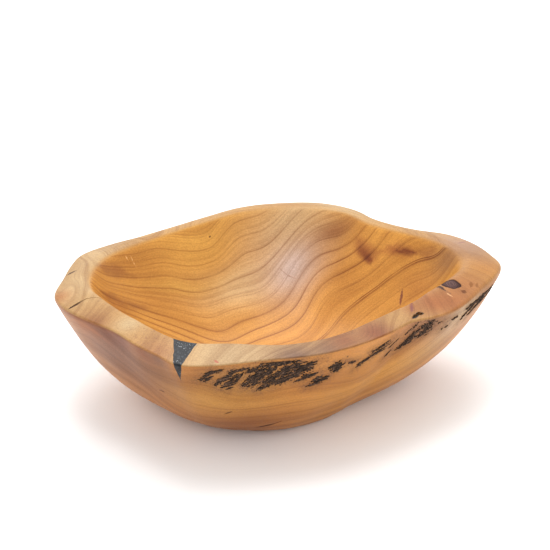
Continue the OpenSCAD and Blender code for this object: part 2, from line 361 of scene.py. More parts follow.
# Growth lines in the hollow. Each is a chain of places that one line passes, in
# mm in plan; the lines are numbered from the back wall to the front.
HOLLOW_LINES = [
    (0, [(-95, 60), (-40, 95), (-5, 120)]),
    (1, [(-100, 50), (-30, 100), (5, 120)]),
    (2, [(-110, 35), (-50, 75), (10, 115)]),
    (3, [(-110, 25), (-70, 60), (-15, 100)]),
    (4, [(-110, 20), (-45, 65), (-5, 90), (40, 115)]),
    (5, [(-105, 25), (-20, 75), (15, 100), (65, 105)]),
    (6, [(-100, 25), (-30, 60), (35, 105)]),
    (7, [(-110, 15), (-30, 45), (10, 75), (75, 95)]),
    (8, [(-105, 5), (-30, 35), (25, 75), (90, 95)]),
    (9, [(-100, 10), (-10, 40), (45, 85), (90, 85)]),
    (10, [(5, 40), (40, 70), (105, 75)]),
    (11, [(20, 30), (50, 50), (85, 65), (110, 65), (125, 55)]),
    (12, [(25, 20), (80, 55), (120, 50)]),
    (13, [(30, 15), (70, 40), (120, 40)]),
    (14, [(60, 10), (110, 40), (130, 40)]),
    (16, [(-70, 0), (0, -10), (70, -15)]),
    (19, [(-85, -30), (0, -55), (60, -50)]),
    (21, [(-60, -65), (0, -80), (60, -65)]),
]
# On the rim they follow its length at the back, close into a whorl at the left
# end, and cross it at a slant in front.
RIM_LINES = [
    (3, [(-31, -101), (-23, -88)]),
    (5, [(-16, -100), (-5, -87)]),
    (8, [(-3, -97), (19, -83)]),
    (11, [(14, -94), (33, -80)]),
    (14, [(33, -90), (52, -72)]),
    (17, [(58, -80), (68, -60)]),
    (20, [(80, -62), (86, -44)]),
    (22, [(92, -52), (97, -30)]),
    (25, [(110, -32), (106, -18)]),
    (28, [(136, -14), (118, 8)]),
    (30, [(154, 14), (126, 26)]),
    (31, [(150, 44), (128, 50)]),
    (30, [(104, 86), (60, 122), (0, 128), (-60, 100), (-100, 70)]),
    (29, [(96, 84), (60, 110), (0, 119), (-50, 90), (-92, 62)]),
    (2, [(-46, -96), (-40, -80)]),
    (0, [(-66, -88), (-60, -72)]),
    (-2, [(-86, -68), (-80, -52)]),
    (-1, [(-104, -48), (-94, -34)]),
    (2, [(-112, -14), (-114, 20), (-108, 42)]),
    (5, [(-132, -30), (-138, 0), (-130, 34), (-114, 60)]),
]
WHORLS = [((-127, -11), (5, 12), 1.6), ((-86, -56), (7, 7), 0.8), ((58, -66), (14, 10), -2.5)]
# Outside they run round the bowl, level with its foot
OUTSIDE_LINES = [
    (1, [(-125, -35, 85), (-85, -70, 75), (-55, -95, 75)]),
    (1, [(-40, -100, 80), (25, -90, 80), (100, -45, 85)]),
    (2, [(-50, -95, 70), (-10, -85, 50), (60, -55, 45), (125, -30, 80)]),
    (3, [(-120, -35, 80), (-75, -65, 55), (10, -75, 40), (90, -30, 45), (135, -15, 70)]),
    (4, [(-115, -35, 65), (-55, -65, 30), (50, -50, 25), (150, 10, 65)]),
    (6, [(-75, -45, 30), (-5, -60, 10), (60, -30, 10)]),
    (8, [(-50, -20, 0), (0, -40, 0), (50, 0, 0), (0, 40, 0)]),
    (5, [(-90, 30, 40), (-40, 75, 40), (20, 85, 40), (70, 60, 40)]),
    (3, [(-120, 30, 65), (-60, 90, 65), (20, 110, 65), (100, 80, 65), (140, 50, 65)]),
    (1, [(-130, 40, 85), (-60, 100, 85), (10, 130, 85), (110, 90, 85), (150, 50, 85)]),
]


def spread(lines, softness):
    """A smooth field that takes each line's number along it, with a straight trend far away."""
    places = np.array([p for _, chain in lines for p in chain], float)
    values = np.array([number for number, chain in lines for _ in chain], float)
    n, size = places.shape
    flat = np.hstack([np.ones((n, 1)), places])
    gaps = np.sqrt(np.sum((places[:, None] - places[None]) ** 2, axis=2) + softness**2)
    left = np.block([[gaps - np.eye(n) * softness / 10, flat], [flat.T, np.zeros((size + 1, size + 1))]])
    weights = np.linalg.solve(left, np.concatenate([values, np.zeros(size + 1)]))

    def field(p):
        p = np.asarray(p, float)[:, :size]
        reach = np.sqrt(np.sum((p[:, None] - places[None]) ** 2, axis=2) + softness**2)
        return reach @ weights[:n] + weights[n] + p @ weights[n + 1:]
    return field


hollow_line = spread(HOLLOW_LINES, 15)
outside_line = spread(OUTSIDE_LINES, 18)
plain_rim_line = spread(RIM_LINES, 10)


def rim_line(p):
    p = np.asarray(p, float)
    number = plain_rim_line(p)
    for middle, reach, lift in WHORLS:
        number += lift * np.exp(-np.sum(((p[:, :2] - middle) / reach) ** 2, axis=1))
    return number


# The wood's colours, from the pale sapwood to the dark heart, and a pale lilac that is a painted highlight,
# not wood
WOOD_COLOURS = {
    "cream": "CDB58C", "straw": "CCA768", "gold": "CFA04A", "honey": "C48C3E", "caramel": "BE7E3C",
    "amber": "A9702C", "ginger": "96582A", "chestnut": "7E4420", "rust": "6C2E12",
    "bone": "B69C74", "tan": "AC8450", "mauve": "8E6A58", "plum": "5C3C36", "painted_highlight": "C4B6B4",
}
ALL_LINES = 99                     # a reach that takes in every growth line
# Where each comes up: middle in mm, reach in mm, reach across the growth lines, colour, strength
HOLLOW_TONES = [
    # The cream dab at (-20, 80, 40) is a pale band of the wood, broadened and brightened as a painted glow of
    # the soft overhead light
    ((-20, 80, 40), 35, 1.8, "cream", 0.7), ((-60, 60, 50), 30, 0.8, "gold", 0.6),
    ((-95, 50, 75), 25, 1.4, "amber", 0.6), ((-80, 40, 50), 35, 1.4, "amber", 0.4),
    ((-100, 10, 65), 20, 2.5, "ginger", 0.6), ((-45, 85, 75), 35, 2.5, "gold", 0.5),
    ((5, 110, 75), 25, 0.9, "mauve", 0.25), ((20, 115, 80), 35, 4.0, "cream", 0.7),
    # The pale lilac dab at (20, 95, 50) is a painted highlight, the overhead softbox's sheen on the hollow's
    # back wall
    ((20, 95, 50), 25, 3.0, "painted_highlight", 0.8), ((50, 105, 80), 20, 0.8, "rust", 0.7),
    ((60, 80, 55), 18, 1.6, "amber", 0.5), ((130, 50, 80), 18, 5.0, "plum", 0.6),
    ((105, 50, 60), 16, 2.0, "ginger", 0.4), ((20, 45, 20), 40, 3.0, "caramel", 0.4),
]
# Dark streaks in the hollow: start, end, half width in mm, colour, strength
HOLLOW_STREAKS = [
    ((65, 90, 75), (80, 80, 65), 8.0, "ginger", 0.7), ((70, 90, 70), (75, 80, 65), 4.5, "rust", 0.8),
    ((80, 80, 70), (95, 75, 75), 3.0, "ginger", 0.6), ((90, 80, 75), (105, 70, 75), 5.5, "ginger", 0.7),
    ((95, 75, 75), (105, 70, 75), 3.0, "rust", 0.8), ((105, 70, 75), (125, 60, 80), 4.0, "chestnut", 0.5),
    ((-115, 30, 85), (-90, 45, 70), 6.5, "chestnut", 0.55),
    ((-110, 10, 75), (-80, 35, 50), 6.0, "chestnut", 0.5),
]
RIM_TONES = [
    ((-125, -5, 85), 30, ALL_LINES, "bone", 0.7), ((-135, -15, 85), 9, ALL_LINES, "ginger", 0.7),
    ((-115, 40, 85), 30, ALL_LINES, "bone", 0.6), ((-100, -40, 85), 20, ALL_LINES, "tan", 0.7),
    ((-110, -50, 85), 12, ALL_LINES, "chestnut", 0.7), ((-85, -55, 85), 9, ALL_LINES, "bone", 0.9),
    ((-65, -90, 85), 16, ALL_LINES, "ginger", 0.6), ((-20, -95, 85), 30, ALL_LINES, "bone", 0.8),
    ((20, -95, 85), 15, ALL_LINES, "plum", 0.8), ((40, -85, 85), 10, ALL_LINES, "plum", 0.6),
    ((50, -75, 85), 12, ALL_LINES, "chestnut", 0.8), ((70, -65, 85), 15, ALL_LINES, "chestnut", 0.95),
    ((85, -45, 85), 9, 2.0, "tan", 0.9), ((95, -35, 85), 7, ALL_LINES, "ginger", 0.6),
    ((110, -25, 85), 15, ALL_LINES, "ginger", 0.9), ((125, -20, 85), 15, ALL_LINES, "ginger", 0.8),
    ((135, 0, 85), 18, ALL_LINES, "ginger", 0.7), ((150, 25, 85), 18, ALL_LINES, "amber", 0.8),
    ((140, 60, 85), 25, ALL_LINES, "mauve", 0.7), ((60, 120, 90), 25, ALL_LINES, "bone", 0.6),
]
OUTSIDE_TONES = [
    ((-105, -50, 65), 35, 9, "mauve", 0.8), ((-85, -60, 60), 35, 9, "plum", 0.5),
    ((-60, -80, 60), 30, 5, "plum", 0.5), ((-125, 20, 65), 50, 12, "mauve", 0.6),
    ((-40, -100, 80), 16, 4, "ginger", 0.6), ((-20, -85, 50), 35, 5, "gold", 0.5),
    ((50, -55, 35), 40, 9, "honey", 0.6), ((85, -30, 35), 30, 5, "honey", 0.6),
    ((115, -20, 50), 25, 9, "straw", 0.5), ((125, -20, 65), 25, 9, "mauve", 0.5),
    ((105, -45, 80), 18, 5, "mauve", 0.6), ((135, -20, 80), 22, 9, "cream", 0.7),
    ((-10, -60, 15), 40, 9, "chestnut", 0.7), ((40, -30, 10), 40, 9, "amber", 0.6),
    ((-120, -40, 80), 9, ALL_LINES, "ginger", 0.8), ((-110, -45, 80), 9, ALL_LINES, "ginger", 0.9),
    ((-100, -55, 80), 9, ALL_LINES, "chestnut", 0.9), ((-90, -65, 80), 9, ALL_LINES, "rust", 0.7),
    ((-75, -80, 80), 9, ALL_LINES, "chestnut", 0.8), ((-65, -90, 80), 9, ALL_LINES, "plum", 0.6),
]
# Where the bark held on, as strokes along the wall: start, end, half width, in mm
BARK = {
    "bark_front": [
        ((-39, -96, 70), (-30, -100, 80), 1.1), ((-37, -96, 68), (-31, -98, 74), 0.9),
        ((-30, -94, 65), (-17, -98, 78), 1.7), ((-26, -92, 62), (-14, -96, 75), 1.7),
        ((-23, -91, 60), (-14, -95, 72), 1.2), ((-13, -90, 62), (2, -95, 79), 2.3),
        ((-10, -89, 61), (8, -94, 79), 2.2), ((-4, -87, 58), (30, -88, 77), 1.8),
        ((-1, -89, 63), (22, -91, 80), 2.5), ((6, -87, 61), (31, -87, 75), 1.5),
        ((10, -89, 69), (32, -88, 79), 2.0), ((19, -85, 63), (34, -83, 68), 1.4),
        ((-1, -95, 79), (22, -92, 82), 1.3), ((-36, -99, 76), (-25, -100, 79), 1.0),
        ((-22, -98, 76), (-8, -96, 79), 1.0), ((-2, -97, 82), (24, -93, 83), 1.3),
        ((-12, -95, 74), (2, -97, 81), 1.3), ((20, -90, 76), (36, -86, 80), 1.0),
    ],
    "bark_sliver": [((28, -80, 56), (40, -77, 61), 1.4), ((30, -81, 60), (36, -80, 63), 1.0)],
    "bark_drop": [((41, -81, 69), (49, -77, 70), 2.2), ((43, -78, 65), (48, -76, 66), 1.4)],
    "bark_streak": [
        ((58, -66, 61), (66, -65, 68), 0.9), ((59, -67, 64), (80, -56, 73), 1.3),
        ((53, -74, 69), (58, -70, 68), 0.7), ((68, -65, 72), (81, -57, 77), 1.1),
    ],
    "bark_corner": [
        ((103, -39, 71), (107, -42, 82), 3.0), ((99, -40, 69), (108, -38, 76), 2.4),
        ((92, -43, 68), (104, -42, 80), 1.4), ((90, -47, 74), (99, -46, 83), 0.7),
        ((85, -43, 61), (101, -40, 71), 1.2), ((88, -43, 64), (101, -42, 76), 0.9),
        ((77, -49, 59), (82, -48, 65), 0.7), ((95, -45, 77), (99, -46, 84), 0.7),
        ((79, -53, 68), (86, -50, 73), 0.7),
    ],
    "bark_flakes": [
        ((112, -36, 77), (116, -33, 77), 0.6), ((115, -28, 68), (117, -28, 69), 0.6),
        ((118, -26, 68), (120, -25, 69), 0.6), ((122, -27, 74), (127, -21, 73), 0.8),
    ],
    "bark_end": [
        ((130, -11, 65), (134, -11, 71), 0.8), ((132, -11, 68), (144, -1, 78), 1.2),
        ((136, -2, 65), (150, 11, 75), 1.2), ((133, -16, 76), (154, 17, 77), 1.1),
        ((138, -8, 72), (153, 15, 76), 1.2), ((142, 4, 68), (155, 20, 74), 1.0),
    ],
}


def stroke_gap(places, stroke):
    """How far each place is from a stroke's middle line, and how far along it, 0 to 1."""
    start, end = np.array(stroke[0], float), np.array(stroke[1], float)
    run = end - start
    t = np.clip((places - start) @ run / (run @ run), 0, 1)
    return np.linalg.norm(places - start - t[:, None] * run, axis=1), t


def linear(code):
    """A named wood colour or six hex digits, in linear light."""
    code = WOOD_COLOURS.get(code, code)
    parts = [int(code[i:i + 2], 16) / 255 for i in (0, 2, 4)]
    return np.array([c / 12.92 if c <= 0.04045 else ((c + 0.055) / 1.055) ** 2.4 for c in parts])


def paint(places, lines, base, dabs, field):
    """The base colour with each dab over it, fading with distance and across the growth lines."""
    colour = np.tile(linear(base), (len(places), 1))
    for middle, reach, across, code, strength in dabs:
        near = np.linalg.norm(places - middle, axis=1) / reach
        off = (lines - field([middle])) / across
        share = strength * np.exp(-near**2 - off**2)
        colour += (linear(code) - colour) * share[:, None]
    return colour


def streak_over(colour, places, streaks):
    """Lays each streak over the colours, widest halfway along it."""
    for start, end, width, code, strength in streaks:
        gap, t = stroke_gap(places, (start, end))
        wide = width * (0.5 + 2.0 * t * (1 - t))
        share = strength * (1 - smooth(gap / wide, 0.2, 1.3))
        colour += (linear(code) - colour) * share[:, None]


# Growth lines are counted from 0 up in the hollow, and from here up elsewhere
OUTSIDE_FIRST, RIM_FIRST = 40, 80
BURLS = [((-66, -81, 86), 13), ((-79, -64, 86), 7)]      # speckled places on the rim: middle, reach
STAIN_REACH = 5.0                  # of the dark stain around the bark, in mm


def grow_grain(obj):
    """Gives each point its growth line, its distance along the grain, its colour with a painted highlight and
    glow in the hollow, and its marks.
    """
    places = coordinates(obj) / MM
    flat = places[:, :2] - RIM_CENTRE
    s = rim_at(np.degrees(np.arctan2(flat[:, 1], flat[:, 0])))
    radius = np.hypot(flat[:, 0], flat[:, 1])
    depth = RIM_HEIGHT + s[:, 3] - RIM_SLOPE * (radius - s[:, 1]) - places[:, 2]
    hollow_z = FLOOR + (RIM_HEIGHT - FLOOR) * np.minimum(radius / s[:, 1], 1) ** HOLLOW_POWER
    inside = (radius < s[:, 1] + s[:, 2] / 2) & (places[:, 2] > hollow_z - 4)
    soft = np.where(inside, s[:, 5], s[:, 4])
    rim = 1 - smooth(depth, 0.15 * soft, 0.8 * soft)
    hollow, across, outside = hollow_line(places), rim_line(places), outside_line(places)
    wall = np.where(inside, hollow, outside + OUTSIDE_FIRST)
    line = np.where(rim > 0.5, across + RIM_FIRST, wall)
    gain = np.where(rim > 0.5, 0.55, np.where(inside, 1.0, 0.9)) * smooth(np.abs(rim - 0.5), 0.15, 0.4)
    tone = np.where(
        inside[:, None],
        paint(places, hollow, "honey", HOLLOW_TONES, hollow_line),
        paint(places, outside, "caramel", OUTSIDE_TONES, outside_line),
    )
    astray = places + 3.0 * np.array([noise.noise_vector(Vector(p * (0.1, 0.16, 0.1))) for p in places])
    marked = tone[inside]
    streak_over(marked, astray[inside], HOLLOW_STREAKS)
    tone[inside] = marked
    tone += (paint(places, across, "tan", RIM_TONES, rim_line) - tone) * rim[:, None]
    along = np.where(
        rim > 0.5, places @ (0.6, 1.0, 0.0),
        np.where(inside, places @ (0.8, 0.6, 0.0), places @ (1.0, 0.3, 0.0)),
    )
    burl = np.zeros(len(places))
    for middle, reach in BURLS:
        burl += rim * np.exp(-np.sum((places - middle) ** 2, axis=1) / reach**2)
    near_bark = np.full(len(places), np.inf)
    for strokes in BARK.values():
        for stroke in strokes:
            near_bark = np.minimum(near_bark, stroke_gap(places, stroke)[0] - stroke[2])
    stain = (1 - rim) * ~inside * np.exp(-(np.maximum(near_bark, 0) / STAIN_REACH) ** 2)
    normals = np.empty(len(places) * 3, np.float32)
    obj.data.vertex_normals.foreach_get("vector", normals)
    normals = normals.reshape(-1, 3).astype(float)

    def steepness(field, number):
        """How many growth lines a millimetre of the surface crosses at each place."""
        slope = np.stack([field(places + step) - number for step in np.eye(3) * 0.5], -1) / 0.5
        slope -= normals * np.sum(slope * normals, axis=1)[:, None]
        return np.linalg.norm(slope, axis=1)

    crowding = np.where(
        rim > 0.5, steepness(rim_line, across),
        np.where(inside, steepness(hollow_line, hollow), steepness(outside_line, outside)),
    )
    for name, kind, values in (
        ("crowding", "FLOAT", np.clip(crowding, 0.02, 2.0)),
        ("grain", "FLOAT_VECTOR", np.stack([line, along, gain], -1)),
        ("marks", "FLOAT_VECTOR", np.stack([burl, stain, 0 * stain], -1)),
        ("tone", "FLOAT_COLOR", np.hstack([tone, np.ones((len(tone), 1))])),
    ):
        attribute = obj.data.attributes.new(name, kind, "POINT")
        key = {"FLOAT_COLOR": "color", "FLOAT_VECTOR": "vector", "FLOAT": "value"}[kind]
        attribute.data.foreach_set(key, values.astype(np.float32).ravel())


grow_grain(wood)


def put(tree, kind, inputs=None, **settings):
    """Adds a node; an input is a value or another node's output."""
    item = tree.nodes.new(kind)
    for key, value in settings.items():
        setattr(item, key, value)
    for key, value in (inputs or {}).items():
        if isinstance(value, bpy.types.NodeSocket):
            tree.links.new(value, item.inputs[key])
        else:
            item.inputs[key].default_value = value
    return item


def maths(tree, operation, a, b=0.0, c=0.0):
    return put(tree, "ShaderNodeMath", {0: a, 1: b, 2: c}, operation=operation).outputs[0]


def vector(tree, operation, a, b=(0, 0, 0), result=0):
    return put(tree, "ShaderNodeVectorMath", {0: a, 1: b}, operation=operation).outputs[result]


def ramp(tree, fac, stops, interpolation="LINEAR"):
    """A colour ramp; each stop is (place, value) or (place, (r, g, b))."""
    item = put(tree, "ShaderNodeValToRGB", {"Fac": fac})
    band = item.color_ramp
    band.interpolation = interpolation
    while len(band.elements) < len(stops):
        band.elements.new(0.5)
    for element, (place, value) in zip(band.elements, stops):
        element.position = place
        element.color = (*value, 1) if isinstance(value, tuple) else (value, value, value, 1)
    return item.outputs["Color"]


def blend(tree, mode, share, a, b):
    item = put(tree, "ShaderNodeMix", data_type="RGBA", blend_type=mode)
    for key, value in (("Factor_Float", share), ("A_Color", a), ("B_Color", b)):
        socket = next(i for i in item.inputs if i.identifier == key)
        if isinstance(value, bpy.types.NodeSocket):
            tree.links.new(value, socket)
        else:
            socket.default_value = value if key == "Factor_Float" else (*value, 1)
    return next(o for o in item.outputs if o.identifier == "Result_Color")


def new_group(name, inputs, outputs):
    """A shader node group; an input is a number or a vector."""
    tree = bpy.data.node_groups.new(name, "ShaderNodeTree")
    for key, value in inputs.items():
        kind = "NodeSocketVector" if isinstance(value, tuple) else "NodeSocketFloat"
        tree.interface.new_socket(name=key, in_out="INPUT", socket_type=kind).default_value = value
    for key in outputs:
        tree.interface.new_socket(name=key, in_out="OUTPUT", socket_type="NodeSocketFloat")
    return tree, tree.nodes.new("NodeGroupInput").outputs, tree.nodes.new("NodeGroupOutput").inputs


def new_material(name):
    material = bpy.data.materials.new(name)
    material.use_nodes = True
    return material, material.node_tree, material.node_tree.nodes["Principled BSDF"].inputs


def noise_at(tree, place, scale, detail=2.0, roughness=0.5, dimensions="3D"):
    key = "W" if dimensions == "1D" else "Vector"
    item = put(
        tree, "ShaderNodeTexNoise",
        {key: place, "Scale": scale, "Detail": detail, "Roughness": roughness},
        noise_dimensions=dimensions,
    )
    return item.outputs["Fac"]


# Grain: a dark line at each whole number, sharp on one side and soft on the
# other, finer ones between, broad bands, and fibres that lie along the lines.
# Crowding is how many lines there are to a millimetre.
grain_group, given, result = new_group(
    "grain", {"Line": 0.0, "Along": 0.0, "Crowding": 0.1}, ["Line", "Fine", "Band", "Fibre", "Pore"]
)
order = maths(grain_group, "ROUND", given["Line"])
saw = maths(grain_group, "FRACT", given["Line"])
LINE_REACH = 4.0                   # of a line's soft side, in mm
before = maths(grain_group, "SUBTRACT", 1.0, saw)
after = maths(grain_group, "MULTIPLY", saw, 3.0)
reach = maths(grain_group, "MULTIPLY", given["Crowding"], LINE_REACH)
off_line = maths(grain_group, "DIVIDE", maths(grain_group, "MINIMUM", before, after), reach)
edge = ramp(grain_group, off_line, [(0.0, 1.0), (0.09, 0.95), (0.2, 0.3), (0.45, 0.12), (1.0, 0.0)])
# How strong each line of the hollow is, from line 0 up; all others are alike
LINE_STRENGTHS = [
    0.4, 0.5, 0.35, 0.6, 0.5, 0.4, 0.45, 0.6, 0.85,
    0.85, 0.5, 1.0, 0.5, 0.5, 0.4, 0.5, 0.45, 0.35,
]
OTHER_STRENGTH = 0.45
LINE_STOP = 0.02                   # a line's share of the ramp
stops = [(max(LINE_STOP * k - LINE_STOP / 2, 0.0), value) for k, value in enumerate(LINE_STRENGTHS)]
stops.append((LINE_STOP * len(LINE_STRENGTHS), OTHER_STRENGTH))
strength = ramp(grain_group, maths(grain_group, "MULTIPLY", order, LINE_STOP), stops, "CONSTANT")
# The strongest line is a double one
twin = ramp(grain_group, off_line, [(0.3, 0.0), (0.37, 1.0), (0.47, 1.0), (0.56, 0.0)])
twin = maths(grain_group, "MULTIPLY", twin, maths(grain_group, "GREATER_THAN", strength, 0.9))
whole = maths(grain_group, "MAXIMUM", maths(grain_group, "MULTIPLY", edge, strength), twin)
grain_group.links.new(whole, result["Line"])
sway = noise_at(grain_group, given["Line"], 1.3, 2.0, dimensions="1D")
triple = maths(grain_group, "MULTIPLY_ADD", sway, 2.4, maths(grain_group, "MULTIPLY", given["Line"], 3.0))
part = maths(grain_group, "FRACT", triple)
before = maths(grain_group, "SUBTRACT", 1.0, part)
after = maths(grain_group, "MULTIPLY", part, 2.0)
part = maths(grain_group, "MINIMUM", before, after)
fine = ramp(grain_group, maths(grain_group, "DIVIDE", part, reach), [(0.0, 1.0), (0.3, 0.6), (1.0, 0.0)])
few = put(
    grain_group, "ShaderNodeTexWhiteNoise", {"W": maths(grain_group, "ROUND", triple)}, noise_dimensions="1D"
).outputs["Value"]
grain_group.links.new(maths(grain_group, "MULTIPLY", fine, few), result["Fine"])
grain_group.links.new(noise_at(grain_group, given["Line"], 0.8, 3.0, dimensions="1D"), result["Band"])
streak = put(grain_group, "ShaderNodeCombineXYZ", {
    0: maths(grain_group, "MULTIPLY", given["Line"], 14.0),
    1: maths(grain_group, "MULTIPLY", given["Along"], 0.07),
}).outputs[0]
grain_group.links.new(noise_at(grain_group, streak, 1.0, 4.0, 0.6), result["Fibre"])
dash = put(grain_group, "ShaderNodeCombineXYZ", {
    0: maths(grain_group, "MULTIPLY", given["Line"], 22.0),
    1: maths(grain_group, "MULTIPLY", given["Along"], 0.5),
    2: 7.0,
}).outputs[0]
pores = noise_at(grain_group, dash, 1.0, 1.0, 0.5)
grain_group.links.new(ramp(grain_group, pores, [(0.62, 0.0), (0.75, 1.0)]), result["Pore"])

# Fleck: a short dark dash in the wood from one place to another, in mm, thick
# in the middle and running out at both ends
fleck_group, given, result = new_group("fleck", {
    "Place": (0.0, 0.0, 0.0), "Start": (0.0, 0.0, 0.0), "End": (1.0, 0.0, 0.0), "Width": 1.0,
}, ["Mask"])
run = vector(fleck_group, "SUBTRACT", given["End"], given["Start"])
off = vector(fleck_group, "SUBTRACT", given["Place"], given["Start"])
covered = vector(fleck_group, "DOT_PRODUCT", off, run, 1)
length = vector(fleck_group, "DOT_PRODUCT", run, run, 1)
share = maths(fleck_group, "DIVIDE", covered, length)
share = put(fleck_group, "ShaderNodeClamp", {"Value": share}).outputs[0]
spot = put(fleck_group, "ShaderNodeVectorMath", {0: run, "Scale": share}, operation="SCALE").outputs[0]
gap = vector(fleck_group, "LENGTH", vector(fleck_group, "SUBTRACT", off, spot), result=1)
left = maths(fleck_group, "SUBTRACT", 1.0, share)
belly = maths(fleck_group, "MULTIPLY", maths(fleck_group, "MULTIPLY", share, left), 3.6)
width = maths(fleck_group, "MULTIPLY", given["Width"], maths(fleck_group, "ADD", belly, 0.15))
level = maths(fleck_group, "DIVIDE", gap, width)
fleck_group.links.new(ramp(fleck_group, level, [(0.45, 1.0), (1.0, 0.0)]), result["Mask"])

# Start, end, half width in mm, colour, strength
FLECKS = [
    ((-134, 14.5, 85), (-127, 21.5, 86), 1.2, "3A2420", 0.95),
    ((95.5, -26, 87), (94.5, -40, 86), 1.6, "7A4844", 0.85),
    ((131, -10, 85), (132.6, -6, 85), 2.4, "5E3216", 0.85),
    ((137.2, -2, 85), (138.2, 5, 85), 1.8, "7A4A20", 0.8),
    ((141, -2, 85), (142.2, 4.5, 85), 1.4, "7A4A20", 0.7),
    ((135, 61, 87), (142, 68, 85), 0.9, "80585C", 0.6),
    ((-30, -97, 84.5), (-27, -99.5, 84), 1.1, "A85848", 0.8),
    ((51.5, -78.5, 75.5), (52.5, -77.5, 77), 1.0, "2A211C", 0.9),
    ((-40.6, 92.6, 76.6), (-39.4, 93.6, 77.4), 0.9, "5A3418", 0.9),
    ((97.5, 57, 53), (95.5, 48.5, 44), 1.4, "6E3A2E", 0.85),
    ((98, 64, 62), (97.5, 57, 53), 0.7, "8E5A34", 0.6),
    ((11, 94, 47), (23, 90, 44), 0.5, "8C6450", 0.6),
    ((9, 96, 51), (18, 91, 45), 0.4, "8C6450", 0.5),
    ((-98.5, 52.5, 82.5), (-94, 50.5, 77), 0.5, "E8B878", 0.7),
    ((-94.5, 54.5, 81), (-88.5, 50.5, 70), 0.6, "E8B878", 0.7),
    ((-26, -75.5, 32.5), (-20, -78, 36), 1.0, "3A1C14", 0.9),
    ((-67, -66.5, 45), (-62.5, -70.5, 45), 1.1, "4A2C34", 0.7),
    ((-6, -60.5, 12.5), (8, -63.5, 18), 1.5, "2E140C", 0.95),
    ((4, -62.5, 16), (13, -64.5, 21.5), 0.8, "5A2A14", 0.8),
    ((113.5, -3.5, 87), (119.5, -10.5, 86), 2.2, "32201F", 0.95),
    ((118, -8, 86), (123.5, -13.5, 85), 1.0, "5C3C30", 0.8),
    ((119, -11.5, 86), (123.5, -15.5, 85), 0.8, "D8A878", 0.7),
    # The three near-black flecks over the worm hole are painted shade inside it and around its mouth
    ((94.5, -46, 85), (99, -40, 86), 1.9, "120A08", 1.0),
    ((97, -40.5, 86), (103, -38.5, 86), 2.2, "120A08", 1.0),
    ((94, -44, 82), (103, -37.5, 82), 3.5, "120A08", 1.0),
    # The two dark flecks along the crack are painted shade of its gap, wider than the cut itself
    ((-106, -22.5, 87), (-119, -24, 86), 0.8, "6A4030", 0.9),
    ((-117, -23.5, 86), (-127, -31, 84), 1.2, "3A1A14", 0.95),
]


LINE_SHADE = (0.42, 0.27, 0.19)    # a growth line's part of the wood's own colour
BURL_BROWN = (0.16, 0.05, 0.025)
STAIN_BROWN = (0.2, 0.095, 0.05)
CRUMB_BROWN = (0.04, 0.022, 0.015)


